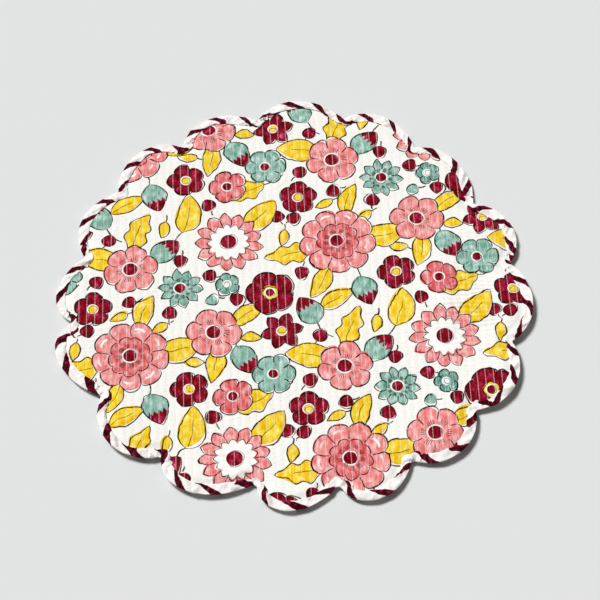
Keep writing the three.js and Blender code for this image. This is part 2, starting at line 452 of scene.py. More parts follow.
coarse_rows = np.arange(-CELLS_Y, CELLS_Y + 1) * STITCH
fine_rows = np.arange(-CELLS_Y * ROWS, CELLS_Y * ROWS + 1) * STITCH / ROWS
coarse, coarse_row = grid(np.arange(-CELLS_X, CELLS_X + 1) * HALF, coarse_rows)
fine, fine_row = grid(fine_columns(), fine_rows)
coarse_inward = inward_of(coarse)
inside = (coarse_inward > EDGE_INWARD).reshape(-1, coarse_row)
kept = inside[:-1, :-1] & inside[1:, :-1] & inside[:-1, 1:] & inside[1:, 1:]
print("cells in the mat:", int(kept.sum()))


# %% Faces of the quilt
def quad_faces(rows, columns, row_length, start=0):
    """Corner numbers of grid squares, counter-clockwise from above."""
    low = start + rows * row_length + columns
    return np.stack([low, low + 1, low + 1 + row_length, low + row_length], axis=1)


def fine_faces():
    rows, columns = np.nonzero(kept)
    found = []
    for dy in range(ROWS):
        for dx in range(COLUMNS):
            found.append(quad_faces(rows * ROWS + dy, columns * COLUMNS + dx, fine_row))
    return np.concatenate(found)


def fine_chain(start, end):
    """Numbers of the fine points from one corner of a cell to the next, each given as row and column."""
    steps = ROWS if start[0] != end[0] else COLUMNS
    rows = np.linspace(start[0] * ROWS, end[0] * ROWS, steps + 1)
    columns = np.linspace(start[1] * COLUMNS, end[1] * COLUMNS, steps + 1)
    return [round(row) * fine_row + round(column) for row, column in zip(rows, columns)]


def wall_faces():
    """One upright face for each side of a kept cell that has no kept neighbour."""
    corners = [(0, 0), (0, 1), (1, 1), (1, 0)]  # steps in row and column, counter-clockwise
    beside = [(-1, 0), (0, 1), (1, 0), (0, -1)]
    padded = np.pad(kept, 1)
    faces = []
    for row, column in zip(*np.nonzero(kept)):
        for a, b, (down, right) in zip(corners, corners[1:] + corners[:1], beside):
            if padded[row + 1 + down, column + 1 + right]:
                continue
            start, end = [(row + r, column + c) for r, c in (a, b)]
            under = [int(len(fine) + r * coarse_row + c) for r, c in (start, end)]
            faces.append(under + fine_chain(start, end)[::-1])
    return faces


# %% Quilt mesh
def new_piece(name, points, faces, materials):
    """A mesh object at the origin, from points in millimetres, without its unused points."""
    used = np.unique(np.concatenate([np.ravel(f) for f in faces]))
    number = np.zeros(len(points), int)
    number[used] = np.arange(len(used))
    mesh = bpy.data.meshes.new(name)
    mesh.from_pydata((points[used] * MM).tolist(), [], [number[list(f)].tolist() for f in faces])
    for material in materials:
        mesh.materials.append(material)
    piece = bpy.data.objects.new(name, mesh)
    bpy.context.collection.objects.link(piece)
    return piece


def upright(plane, height):
    return np.stack([plane.real, plane.imag, height], axis=1)


def triangle_count(piece):
    return sum(len(p.vertices) - 2 for p in piece.data.polygons)


def build_quilt(materials):
    """The quilt, and how many of its faces are printed."""
    top = upright(fine, face_height(fine, inward_of(fine)))
    under = upright(coarse, under_height(coarse, coarse_inward))
    rows, columns = np.nonzero(kept)
    printed = list(fine_faces())
    backing = list(quad_faces(rows, columns, coarse_row, len(fine))[:, ::-1]) + wall_faces()
    quilt = new_piece("quilt", np.concatenate([top, under]), printed + backing, materials)
    slots = np.zeros(len(printed) + len(backing), np.int32)
    slots[len(printed):] = 1
    quilt.data.polygons.foreach_set("material_index", slots)
    quilt.data.shade_smooth()
    return quilt, len(printed)


# %% [markdown]
# ## Inks
# The print is done with carved wooden blocks, one for each ink and one for the dark outline. The colours
# are kept by name, and a motif says which of them it takes by their number.

# %% Inks
def linear(red, green, blue):
    """A colour picked by eye, 0 to 255, as Blender's linear light."""
    def channel(value):
        value /= 255
        return value / 12.92 if value <= 0.04045 else ((value + 0.055) / 1.055) ** 2.4

    return (channel(red), channel(green), channel(blue), 1)


COTTON = linear(243, 242, 237)
SHADED_COTTON = linear(229, 228, 222)
OUTLINE = linear(14, 9, 10)
INKS = {
    "rose": linear(230, 146, 144),
    "deep_rose": linear(217, 110, 112),
    "teal": linear(140, 180, 166),
    "deep_teal": linear(112, 160, 146),
    "wine": linear(130, 6, 30),
    "yellow": linear(236, 202, 48),
    "bare": COTTON,
}
INK_NUMBER = {name: k for k, name in enumerate(INKS)}
print("inks:", INK_NUMBER)

# %% [markdown]
# ## The motifs
# The print is a common kind of all-over floral: round blossoms, pointed daisies, buds, leaves and berries.
# Every flower comes from one formula and every leaf, bud, berry and stem from another, with a row of
# sizes for each kind, so a new kind costs one line.

# %% Motif kinds
# Reach and eye are radii. Depth is how far the reach falls between petals, point how pointed they are,
# and inner where the inner ring lies, both as shares. Veins is 1 where fine lines show.
Flower = namedtuple("Flower", "reach petals depth point inner eye veins petal_ink inner_ink eye_ink")
FLOWERS = {
    "double_blossom": Flower(31, 9, 0.2, 0.05, 0.56, 5.2, 1, "rose", "deep_rose", "wine"),
    "dahlia": Flower(28, 13, 0.24, 0.55, 0.62, 6.5, 0, "rose", "bare", "wine"),
    "rosette": Flower(22, 6, 0.26, 0, 0, 5.5, 1, "rose", "rose", "wine"),
    "small_rosette": Flower(15.5, 5, 0.28, 0, 0, 3.6, 0, "deep_rose", "deep_rose", "wine"),
    "teal_daisy": Flower(18, 10, 0.3, 0.8, 0, 4.2, 1, "teal", "teal", "wine"),
    "teal_rosette": Flower(17, 6, 0.26, 0, 0, 3.6, 0, "teal", "teal", "wine"),
    "small_teal": Flower(10, 5, 0.28, 0, 0, 2.4, 0, "deep_teal", "deep_teal", "bare"),
    "wine_star": Flower(17, 6, 0.4, 0.7, 0, 3.2, 0, "wine", "wine", "yellow"),
    "wine_rosette": Flower(15.5, 5, 0.28, 0.1, 0, 3.4, 0, "wine", "wine", "yellow"),
    "wine_poppy": Flower(20, 5, 0.2, 0.1, 0.34, 3.4, 0, "wine", "yellow", "wine"),
}

# Round is the power that blunts a leaf, bend how far its middle lies off a straight line, and vein is 1
# where it has a midrib. From split on, counted along it from -1 to 1, the tip has its own ink.
NO_TIP = 9  # a split that no leaf reaches
Leaf = namedtuple("Leaf", "half_length half_width round bend lobes lobe_depth split vein ink tip_ink")
LEAVES = {
    "almond_leaf": Leaf(16, 7.5, 0.85, 1.5, 0, 0, NO_TIP, 1, "yellow", "yellow"),
    "broad_leaf": Leaf(18, 10.5, 0.72, -2, 0, 0, NO_TIP, 1, "yellow", "yellow"),
    "lobed_leaf": Leaf(20, 10, 0.75, 2.5, 3, 0.3, NO_TIP, 1, "yellow", "yellow"),
    "stem": Leaf(9, 0, 1, 2.2, 0, 0, NO_TIP, 0, "bare", "bare"),
    "twig": Leaf(2.8, 0, 1, 0.5, 0, 0, NO_TIP, 0, "bare", "bare"),
    "bud": Leaf(14, 10, 0.72, 0, 0, 0, 0.1, 0, "teal", "wine"),
    "leaflet": Leaf(8.2, 4.1, 0.85, 0.8, 0, 0, NO_TIP, 0, "yellow", "yellow"),
    "berry": Leaf(5.8, 5.4, 0.5, 0, 0, 0, NO_TIP, 0, "wine", "wine"),
    "teal_berry": Leaf(5, 4.6, 0.5, 0, 0, 0, NO_TIP, 0, "teal", "teal"),
}
print("kinds of motif:", len(FLOWERS) + len(LEAVES))

# %% [markdown]
# The large motifs are laid out one by one in one repeat of the print. The repeat comes again in columns, and every
# other column is moved up by half a repeat, so that no straight rows of flowers show.

# %% Motif places
REPEAT_X, REPEAT_Y = 168, 196
Place = namedtuple("Place", "kind x y turn")
BLOOM_PLACES = [
    Place("double_blossom", 38, 48, 10),
    Place("dahlia", 118, 150, 0),
    Place("rosette", 104, 66, 20),
    Place("rosette", 38, 128, 45),
    Place("wine_poppy", 150, 100, 0),
    Place("teal_daisy", 78, 108, 12),
    Place("teal_rosette", 150, 26, 30),
    Place("small_teal", 116, 110, 0),
    Place("wine_rosette", 84, 16, 0),
    Place("small_rosette", 118, 8, 0),
    Place("wine_rosette", 8, 92, 50),
    Place("wine_star", 158, 64, 40),
]
LEAF_PLACES = [
    Place("broad_leaf", 77, 54, 15),
    Place("broad_leaf", 84, 179, 80),
    Place("almond_leaf", 50, 88, 70),
    Place("lobed_leaf", -1, 40, 190),
    Place("almond_leaf", 22, 10, 240),
    Place("broad_leaf", 144, 176, 45),
    Place("almond_leaf", 131, 80, 30),
    Place("almond_leaf", 104, 36, 260),
    Place("broad_leaf", 10, 138, 165),
    Place("lobed_leaf", 46, 162, 70),
    Place("lobed_leaf", 130, 4, 200),
    Place("bud", 66, 144, 40),
    Place("bud", 12, 180, 120),
    Place("bud", 128, 40, -60),
    Place("bud", 58, 0, 290),
]


def copies_of(x, y, repeats):
    """A place in every repeat up to a number of repeats away."""
    for i in range(-repeats, repeats + 1):
        for j in range(-repeats, repeats + 1):
            yield complex(x + i * REPEAT_X, y + j * REPEAT_Y + (i % 2) * REPEAT_Y / 2)


print("large motifs in one repeat:", len(BLOOM_PLACES) + len(LEAF_PLACES))

# %% [markdown]
# Small leaflets, berries and stems fill what is left, as a block cutter fills a ground. They are thrown
# at random with a fixed seed, and a throw stays where it clears what is there already.

# %% Fillers
Part = namedtuple("Part", "kind reach turn")
Sprig = namedtuple("Sprig", "parts room throws")
SPRIGS = [
    Sprig((Part("berry", 11, 38), Part("berry", 11, -38), Part("leaflet", 11, 180)), 14, 3000),
    Sprig((Part("almond_leaf", 0, 0),), 12, 3000),
    Sprig((Part("berry", 8, 20), Part("leaflet", 10, 150)), 11, 3000),
    Sprig((Part("leaflet", 10, 30), Part("leaflet", 10, 150)), 10.5, 2500),
    Sprig((Part("berry", 0, 0),), 6.5, 600),
    Sprig((Part("leaflet", 0, 0),), 6.5, 2500),
    Sprig((Part("teal_berry", 0, 0),), 6, 500),
]
LEAF_CIRCLES = (-0.55, 0, 0.55)  # places along a leaf, in half lengths, of the circles that cover it
LEAF_CIRCLE_REACH = 0.9  # in half widths
GROUND_SEED = 23


def taken_ground():
    """Circles that cover the flowers and leaves."""
    taken = [(z, FLOWERS[p.kind].reach) for p in BLOOM_PLACES for z in copies_of(p.x, p.y, 1)]
    for p in LEAF_PLACES:
        size = LEAVES[p.kind]
        for z in copies_of(p.x, p.y, 1):
            for step in LEAF_CIRCLES:
                middle = z + polar(step * size.half_length, p.turn)
                taken.append((middle, size.half_width * LEAF_CIRCLE_REACH))
    return taken


def fill_ground():
    rng = np.random.default_rng(GROUND_SEED)
    taken = taken_ground()
    fillers = []
    for sprig in SPRIGS:
        for x, y, turn in rng.uniform((0, 0, 0), (REPEAT_X, REPEAT_Y, 360), (sprig.throws, 3)):
            if any(abs(complex(x, y) - z) < reach + sprig.room for z, reach in taken):
                continue
            taken += [(z, sprig.room) for z in copies_of(x, y, 1)]
            for part in sprig.parts:
                z = complex(x, y) + polar(part.reach, turn + part.turn)
                fillers.append(Place(part.kind, z.real, z.imag, turn + part.turn))
    return fillers


FILLERS = fill_ground()
print("small motifs in one repeat:", len(FILLERS))

# %% Stems
STEM_SWAY, TWIG_SWAY = 25, 15  # degrees
STEM_SEED = 31
STEM_FOOT = 0.95  # where a stem meets its leaf, in half lengths from the leaf's middle


def stems_for(places, kind, sway):
    """A thin curved stem at the foot of each leaf, bud or berry."""
    stems = []
    for p, swung in zip(places, np.random.default_rng(STEM_SEED).uniform(-sway, sway, len(places))):
        turn = p.turn + swung
        foot = complex(p.x, p.y) - polar(LEAVES[p.kind].half_length * STEM_FOOT, p.turn)
        foot -= polar(LEAVES[kind].half_length, turn)
        stems.append(Place(kind, foot.real, foot.imag, turn))
    return stems


STEMS = stems_for(LEAF_PLACES, "stem", STEM_SWAY) + stems_for(FILLERS, "twig", TWIG_SWAY)
print("stems:", len(STEMS))

# %% [markdown]
# ## Carrying the print to the cloth
# A shader has no list of motifs to search, so the mesh carries the answer. Each face of the grid is told
# which motif lies nearest, what its sizes are, and where its own corners lie in that motif's frame, in
# millimetres. The shader then draws one flower and one leaf per layer, as sharply as the picture needs.

# %% Nearest motifs
Layer = namedtuple("Layer", "name kinds places")
LAYERS = [
    Layer("stem", LEAVES, STEMS),
    Layer("sprig", LEAVES, FILLERS),
    Layer("leaf", LEAVES, LEAF_PLACES),
    Layer("bloom", FLOWERS, BLOOM_PLACES),
]
REPEATS_ON_MAT = 3
PRINT_REACH = 215  # from the middle, past which no motif touches the mat
BLUNT_END = 0.8  # a leaf's spine ends this many half widths before the leaf does


def motifs_on_mat(places):
    """Each place in every repeat that reaches the mat."""
    copies = [(z, p) for p in places for z in copies_of(p.x, p.y, REPEATS_ON_MAT)]
    return [(p, z) for z, p in copies if abs(z) < PRINT_REACH]


def edge_distance(size, local):
    """How far points in a motif's own frame lie outside it, roughly."""
    if isinstance(size, Flower):
        return abs(local) - size.reach
    end = size.half_length - BLUNT_END * size.half_width
    spine = np.clip(local.real, -end, end)
    rise = size.bend * (1 - (spine / size.half_length) ** 2)
    return abs(local - spine - 1j * rise) - size.half_width


def nearest_motif(centres, motifs, kinds):
    """For each face centre, the number of the motif whose edge lies nearest."""
    best = np.full(len(centres), np.inf)
    chosen = np.zeros(len(centres), int)
    for number, (place, z) in enumerate(motifs):
        local = (centres - z) * np.exp(-1j * np.radians(place.turn))
        distance = edge_distance(kinds[place.kind], local)
        closer = distance < best
        best[closer] = distance[closer]
        chosen[closer] = number
    return chosen


# %% Sizes for the shader
FORM_PARTS = ("_form", "_shape", "_inks", "_extra")
NO_MOTIF = 999.0
SLIP = 0.55 - 0.4j  # how far the colour blocks landed from the outline block


def form_rows(size):
    """A motif's sizes in threes, as the shader reads them, one three for each of FORM_PARTS."""
    if isinstance(size, Flower):
        form, shape = (size.reach, size.petals, size.depth), (size.point, size.inner, size.eye)
        inks = [INK_NUMBER[name] for name in (size.petal_ink, size.inner_ink, size.eye_ink)]
        return form, shape, inks, (size.veins, 0, 0)
    form = (size.half_length, size.half_width, size.round)
    inks = (INK_NUMBER[size.ink], INK_NUMBER[size.tip_ink], size.vein)
    return form, (size.bend, size.lobes, size.lobe_depth), inks, (size.split, 0, 0)


# %% Writing the print
def face_corners(mesh):
    """Plane positions of every face corner in mm, and the face that each belongs to."""
    places = np.empty(len(mesh.vertices) * 3)
    mesh.vertices.foreach_get("co", places)
    places = places.reshape(-1, 3) / MM
    corner = np.empty(len(mesh.loops), np.int32)
    mesh.loops.foreach_get("vertex_index", corner)
    counts = np.empty(len(mesh.polygons), np.int32)
    mesh.polygons.foreach_get("loop_total", counts)
    return (places[:, 0] + 1j * places[:, 1])[corner], np.repeat(np.arange(len(counts)), counts)


def write_attribute(mesh, name, domain, rows):
    attribute = mesh.attributes.new(name, "FLOAT_VECTOR", domain)
    attribute.data.foreach_set("vector", np.asarray(rows, np.float32).ravel())


def write_print(mesh, printed):
    """Tells every face its nearest motif in each layer. Faces from number printed on have none."""
    corners, face = face_corners(mesh)
    centres = np.bincount(face, corners.real) + 1j * np.bincount(face, corners.imag)
    centres /= np.bincount(face)
    for layer in LAYERS:
        motifs = motifs_on_mat(layer.places)
        chosen = nearest_motif(centres, motifs, layer.kinds)
        turn = np.exp(-1j * np.radians([p.turn for p, z in motifs]))
        middle = np.array([z for p, z in motifs])
        spot = (corners - middle[chosen][face]) * turn[chosen][face]
        spot[face >= printed] = NO_MOTIF
        slipped = SLIP * turn[chosen]
        forms = [form_rows(layer.kinds[p.kind]) for p, z in motifs]
        write_attribute(mesh, layer.name + "_spot", "CORNER", upright(spot, np.zeros(len(spot))))
        write_attribute(mesh, layer.name + "_slip", "FACE", upright(slipped, np.zeros(len(slipped))))
        for part, name in enumerate(FORM_PARTS):
            rows = np.array([form[part] for form in forms], float)
            write_attribute(mesh, layer.name + name, "FACE", rows[chosen])
        print(layer.name, "layer:", len(motifs), "motifs on the mat")


# %% [markdown]
# ## Formulas as nodes
# A Math node adds or multiplies two numbers, so a formula of any length becomes a web of them. This small
# class lets the script write the formula as Python and leaves the nodes to Blender.

# %% Nodes
def plug_of(plugs, identifier):
    """A node can have several sockets of one name, and only the identifier tells them apart."""
    return next(plug for plug in plugs if plug.identifier == identifier)


def feed(node, values):
    """Gives a node's inputs, by identifier, their values, or the sockets that their values come from."""
    for identifier, value in values.items():
        source = value.socket if isinstance(value, Signal) else value
        plug = plug_of(node.inputs, identifier)
        if isinstance(source, bpy.types.NodeSocket):
            node.id_data.links.new(source, plug)
        else:
            plug.default_value = source
    return node


def add_node(tree, kind, values=None, **settings):
    node = tree.nodes.new(kind)
    for name, setting in settings.items():
        setattr(node, name, setting)
    return feed(node, values or {})


# %% Signals
def calculate(operation, one, other=0.0):
    tree = next(v.tree for v in (one, other) if isinstance(v, Signal))
    node = add_node(tree, "ShaderNodeMath", {"Value": one, "Value_001": other}, operation=operation)
    return Signal(node.outputs["Value"])


class Signal:
    """A node's output that can be added, multiplied and compared like a number."""

    def __init__(self, socket):
        self.socket = socket
        self.tree = socket.id_data

    def __add__(self, other):
        return calculate("ADD", self, other)

    def __sub__(self, other):
        return calculate("SUBTRACT", self, other)

    def __rsub__(self, other):
        return calculate("SUBTRACT", other, self)

    def __mul__(self, other):
        return calculate("MULTIPLY", self, other)

    def __truediv__(self, other):
        return calculate("DIVIDE", self, other)

    def __abs__(self):
        return calculate("ABSOLUTE", self)

    def __pow__(self, other):
        return calculate("POWER", self, other)

    __radd__ = __add__
    __rmul__ = __mul__


# %% Comparing signals
def above(value, limit):
    return calculate("GREATER_THAN", value, limit)


def below(value, limit):
    return calculate("LESS_THAN", value, limit)


def larger(one, other):
    return calculate("MAXIMUM", one, other)


def zigzag(value):
    """0.5 at every whole number, falling straight to 0 halfway between them."""
    return abs(calculate("FRACT", value) - 0.5)


def choose(mask, inside, outside):
    return outside + (inside - outside) * mask


# %% [markdown]
# An ink's edge is drawn by a mask that fades over a quarter of a millimetre, which keeps it free of
# jagged steps. The unevenness of ink and yarn is noise over the cloth, measured in millimetres.

# %% Masks and colours
SOFT = 0.14  # mm on each side of an ink's edge over which it fades


def cover(distance):
    """1 where a signed distance is inside a shape, fading to 0 just outside it."""
    values = {"Value": distance, "From Min": SOFT, "From Max": -SOFT}
    return Signal(add_node(distance.tree, "ShaderNodeMapRange", values).outputs["Result"])


def stroke(distance, half_width):
    return cover(abs(distance) - half_width)


def blend(factor, under, over):
    """The colour over laid on the colour under, by a factor."""
    values = {"Factor_Float": factor, "A_Color": under, "B_Color": over}
    node = add_node(factor.tree, "ShaderNodeMix", values, data_type="RGBA")
    return Signal(plug_of(node.outputs, "Result_Color"))


def ink_colour(number):
    """The ink with a given number, looked up on a ramp of flat steps."""
    ramp = add_node(number.tree, "ShaderNodeValToRGB", {"Fac": number / len(INKS)})
    ramp.color_ramp.interpolation = "CONSTANT"
    steps = ramp.color_ramp.elements
    while len(steps) < len(INKS):
        steps.new(1)
    for k, colour in enumerate(INKS.values()):
        steps[k].position = max(0, (k - 0.5) / len(INKS))
        steps[k].color = colour
    return Signal(ramp.outputs["Color"])


# %% Places and noise in a shader
# A grain is noise with bumps of a width and a length in mm, and how much of it a finish takes.
Grain = namedtuple("Grain", "width length detail amount", defaults=[1])


def parts_of(tree, vector):
    """The X, Y and Z of a vector socket."""
    return [Signal(part) for part in add_node(tree, "ShaderNodeSeparateXYZ", {"Vector": vector}).outputs]


def attribute(tree, name):
    return parts_of(tree, add_node(tree, "ShaderNodeAttribute", attribute_name=name).outputs["Vector"])


def place_on_piece(tree):
    return add_node(tree, "ShaderNodeTexCoord").outputs["Object"]


def noise(tree, grain):
    """Noise over the cloth from 0 to 1, with bumps of a grain's width along X and length along Y."""
    scale = (1 / (grain.width * MM), 1 / (grain.length * MM), 0)
    mapping = add_node(tree, "ShaderNodeMapping", {"Vector": place_on_piece(tree), "Scale": scale})
    values = {"Vector": mapping.outputs["Vector"], "Scale": 1, "Detail": grain.detail}
    return Signal(add_node(tree, "ShaderNodeTexNoise", values).outputs["Fac"])


def sway(tree, grain):
    """The same noise about zero, as strong as the grain's amount."""
    return (noise(tree, grain) - 0.5) * grain.amount


# %% [markdown]
# ## The leaf block and the flower block
# A leaf is what lies between its midrib and a half-width that swells and closes along its length. A
# flower is what lies inside a circle whose reach rises and falls once for each petal. The dark outline
# is drawn along the same edge, but from the unslipped place, so it misses the colour by two thirds of a
# millimetre as on the real cloth. Inside the outline the lower layers are knocked out to bare cotton.

# %% Parts of a block
LINE = 0.58  # half the outline's width
SQUEEZED_INSIDE, SQUEEZED_HALF = 0.6, 0.5  # the bead of ink that a block squeezes out along its edge
Block = namedtuple("Block", "knock fill squeezed line ink")
Motif = namedtuple("Motif", "line_place ink_place form shape inks extra")


def read_motif(tree, layer, wobble):
    """The nearest motif's sizes, and where the point lies in it for the outline and for the inks."""
    x, y, _ = attribute(tree, layer + "_spot")
    slip_x, slip_y, _ = attribute(tree, layer + "_slip")
    form, shape, inks, extra = [attribute(tree, layer + name) for name in FORM_PARTS]
    return Motif((x + wobble, y + wobble), (x + slip_x, y + slip_y), form, shape, inks, extra[0])


def squeezed_bead(ink_edge):
    return stroke(ink_edge + SQUEEZED_INSIDE, SQUEEZED_HALF)


# %% Leaf block
TAPER = 0.22  # how much slimmer a leaf gets towards its tip
LEAF_ENDS = 1.03  # in half lengths
MIDRIB_HALF, MIDRIB_START, MIDRIB_END = 0.26, -0.9, 0.35
TOOTH_WIDTH, TOOTH_DEPTH = 4, 0.5  # of a bud's tip


def leaf_edge(place, form, shape):
    """The place along and across a leaf, and its distance out from the leaf's edge."""
    x, y = place
    half_length, half_width, round_power = form
    bend, lobes, lobe_depth = shape
    along = x / half_length
    belly = larger(1 - along * along, 0)
    waist = 0.5 - 0.5 * calculate("COSINE", (along + 1) * lobes * math.pi)
    half = half_width * belly**round_power * (1 - TAPER * along) * (1 - lobe_depth * waist)
    across = y - bend * belly
    return along, across, abs(across) - half


def leaf_block(tree, layer, wobble):
    motif = read_motif(tree, layer, wobble)
    ink, tip_ink, vein = motif.inks
    along, across, edge = leaf_edge(motif.line_place, motif.form, motif.shape)
    ends = below(abs(along), LEAF_ENDS)
    midrib = stroke(across, MIDRIB_HALF) * below(along, MIDRIB_END) * above(along, MIDRIB_START) * vein
    line = larger(stroke(edge, LINE) * ends, midrib)
    along, across, ink_edge = leaf_edge(motif.ink_place, motif.form, motif.shape)
    teeth = zigzag(across / TOOTH_WIDTH) * TOOTH_DEPTH
    number = choose(above(along - teeth, motif.extra), tip_ink, ink)
    return Block(cover(edge) * ends, cover(ink_edge), squeezed_bead(ink_edge), line, ink_colour(number))


# %% Petals
SMALLEST_PART = 0.1
FINE_LINE = 0.8 * LINE
PARTING_START = 0.66  # of a petal's reach
VEIN_HALF, VEIN_ASIDE, VEIN_SPREAD = 0.24, 0.28, 0.14
VEIN_GAP = 2.2  # between the eye and the veins
VEIN_LENGTH = 0.75  # of the eye's radius
EYE_LINE = 0.22
COLLAR_GAP, COLLAR_HALF = 0.7, 0.5  # the bare ring round the eye
GLEAM_AT, GLEAM_HALF = 0.8, 0.9  # the bare touch near the end of a petal
GLEAM_ASIDE, GLEAM_SPREAD = 0.15, 0.4
GLEAM_PATCHES, GLEAM_SHARE = Grain(13, 13, 0), 0.52


def petal_edge(place, form, shape):
    """The radius, the place across the petal from 0 to 1 at the parting, and the flower's edge there."""
    x, y = place
    reach, petals, depth = form
    radius = calculate("SQRT", x * x + y * y)
    aside = zigzag(calculate("ARCTAN2", y, x) * petals / (2 * math.pi)) * 2
    rounded = calculate("SQRT", larger(1 - aside * aside, 0))
    profile = choose(shape[0], 1 - aside, rounded)
    return radius, aside, reach * (1 - depth * (1 - profile))


def has(part):
    """1 where a motif has a part, whose size is else zero."""
    return above(part, SMALLEST_PART)


# %% Flower block
def flower_lines(motif):
    """The outline's mask, and the flower's own mask."""
    petals, inner, eye = motif.form[1], motif.shape[1], motif.shape[2]
    radius, aside, edge = petal_edge(motif.line_place, motif.form, motif.shape)
    half_petal = radius * math.pi / petals
    parting = stroke((1 - aside) * half_petal, FINE_LINE) * above(radius, edge * PARTING_START)
    ring = stroke(radius - edge * inner, FINE_LINE) * has(inner)
    vein = stroke(abs(abs(aside - VEIN_ASIDE) - VEIN_SPREAD) * half_petal, VEIN_HALF)
    vein = vein * above(radius, eye + VEIN_GAP) * below(radius, eye + VEIN_GAP + eye * VEIN_LENGTH)
    line = larger(stroke(radius - edge, LINE), parting * below(radius, edge))
    line = larger(line, larger(ring, vein * motif.extra))
    return larger(line, stroke(radius - eye, EYE_LINE)), cover(radius - edge)


def flower_block(tree, layer, wobble):
    motif = read_motif(tree, layer, wobble)
    petal_ink, inner_ink, eye_ink = motif.inks
    inner, eye = motif.shape[1:]
    line, knock = flower_lines(motif)
    radius, aside, edge = petal_edge(motif.ink_place, motif.form, motif.shape)
    number = choose(below(radius, edge * inner), inner_ink, petal_ink)
    number = choose(below(radius, eye), eye_ink, number)
    collar = stroke(radius - eye - COLLAR_GAP, COLLAR_HALF)
    gleam = stroke(radius - edge * GLEAM_AT, GLEAM_HALF) * below(abs(aside - GLEAM_ASIDE), GLEAM_SPREAD)
    gleam = gleam * cover(GLEAM_SHARE - noise(tree, GLEAM_PATCHES)) * has(inner) * has(motif.extra)
    fill = cover(radius - edge) * (1 - collar) * (1 - gleam)
    return Block(knock, fill, squeezed_bead(radius - edge), line, ink_colour(number))


# %% [markdown]
# ## Cotton
# Cotton is matt, with a soft sheen from its loose fibres. Its weave is far finer than a pixel, so a bump
# is enough, and real threads would only cost memory.

# %% Finish of cotton
ROUGHNESS, GLOSS = 0.88, 0.06
SHEEN, SHEEN_ROUGHNESS = 0.015, 0.6
WEAVE_DEPTH = 0.05
YARNS = Grain(0.35, 0.35, 0)
CLOTH_SLUBS = Grain(2.2, 0.9, 1, 1.5)
TAPE_SLUBS = Grain(1.6, 1.6, 1)


def weave(tree, slubs):
    return noise(tree, YARNS) + noise(tree, slubs) * slubs.amount


def new_material(name):
    material = bpy.data.materials.new(name)
    material.use_nodes = True
    return material


def cotton_finish(material, colour, relief):
    """Gives a material cotton's finish, with a colour and a relief."""
    tree = material.node_tree
    bump = add_node(tree, "ShaderNodeBump", {"Distance": WEAVE_DEPTH * MM, "Height": relief})
    feed(tree.nodes["Principled BSDF"], {
        "Base Color": colour,
        "Roughness": ROUGHNESS,
        "Specular IOR Level": GLOSS,
        "Sheen Weight": SHEEN,
        "Sheen Roughness": SHEEN_ROUGHNESS,
        "Normal": bump.outputs["Normal"],
    })
    return material


# %% [markdown]
# ## Printed cotton
# Ink on hand-printed cotton is never even. It lies in clouds and in fine streaks along the channels, it is
# thicker along a block's edge, and it is worn on the seams. The outline is thin where its block met the
# cloth badly. Each of these is one noise or one mask that thickens or thins a coat of ink.

# %% Ink on cotton
SHORT_WOBBLE, LONG_WOBBLE = Grain(8, 8, 1, 2.4), Grain(24, 24, 0, 5)  # mm by which the outline strays
INK_STREAKS, INK_CLOUDS = Grain(1.6, 6, 2, 1.4), Grain(5, 8, 2, 2.4)
LINE_BREAKS, LINE_BREAK_SHARE = Grain(6, 6, 1), 0.34
THIN_LINE = 0.7  # strength of the outline where it is thin
YARN_SHADES = Grain(1.1, 1.3, 2, 0.42)
SPECKS, SPECK_LIMIT = Grain(1.3, 1.3, 0, 0.4), 0.8
SQUEEZED_COAT, THINNEST_COAT = 0.35, 0.3
WORN_HALF, WORN = 0.3, 0.22  # the half-width and strength of the wear along a seam


def coat(ink, density):
    """An ink in a thin or thick coat: light passes it as its colour to the power of the density."""
    node = add_node(ink.tree, "ShaderNodeGamma", {"Color": ink, "Gamma": density})
    return Signal(node.outputs["Color"])


def seam_distance(tree):
    """Distance in mm across the channels from the nearest seam."""
    x = parts_of(tree, place_on_piece(tree))[0]
    return zigzag(x / (CHANNEL * MM) + 0.5) * CHANNEL


def bare_cotton(tree):
    cloth = blend(noise(tree, YARN_SHADES) * YARN_SHADES.amount, COTTON, SHADED_COTTON)
    return blend(cover(SPECK_LIMIT - noise(tree, SPECKS)) * SPECKS.amount, cloth, OUTLINE)


def printed_cotton():
    material = new_material("printed_cotton")
    tree = material.node_tree
    wobble = sway(tree, SHORT_WOBBLE) + sway(tree, LONG_WOBBLE)
    density = sway(tree, INK_STREAKS) + sway(tree, INK_CLOUDS) + 1
    firm = THIN_LINE + (1 - THIN_LINE) * cover(LINE_BREAK_SHARE - noise(tree, LINE_BREAKS))
    cloth = bare_cotton(tree)
    inked = 0.0
    for layer in LAYERS:
        draw = flower_block if layer.kinds is FLOWERS else leaf_block
        block = draw(tree, layer.name, wobble)
        cloth = blend(block.knock, cloth, COTTON)
        thick = larger(density + block.squeezed * SQUEEZED_COAT, THINNEST_COAT)
        cloth = blend(block.fill, cloth, coat(block.ink, thick))
        cloth = blend(block.line * firm, cloth, OUTLINE)
        inked = larger(block.fill, choose(block.knock, 0.0, inked))
    cloth = blend(stroke(seam_distance(tree), WORN_HALF) * inked * WORN, cloth, COTTON)
    return cotton_finish(material, cloth, weave(tree, CLOTH_SLUBS))


# %% [markdown]
# The backing is plain cotton, a shade darker along its thicker yarns. Both cottons are made first, and
# the quilt takes them as the slots of its two sides.

# %% Backing cotton and the quilt
BACKING_SLUBS = Grain(0.8, 12, 2, 0.25)
BACKING_SHADE = linear(228, 226, 219)


def backing_cotton():
    material = new_material("backing_cotton")
    tree = material.node_tree
    shade = noise(tree, BACKING_SLUBS) * BACKING_SLUBS.amount
    return cotton_finish(material, blend(shade, COTTON, BACKING_SHADE), weave(tree, CLOTH_SLUBS))


quilt, printed_faces = build_quilt([printed_cotton(), backing_cotton()])
write_print(quilt.data, printed_faces)
print("quilt triangles:", triangle_count(quilt))

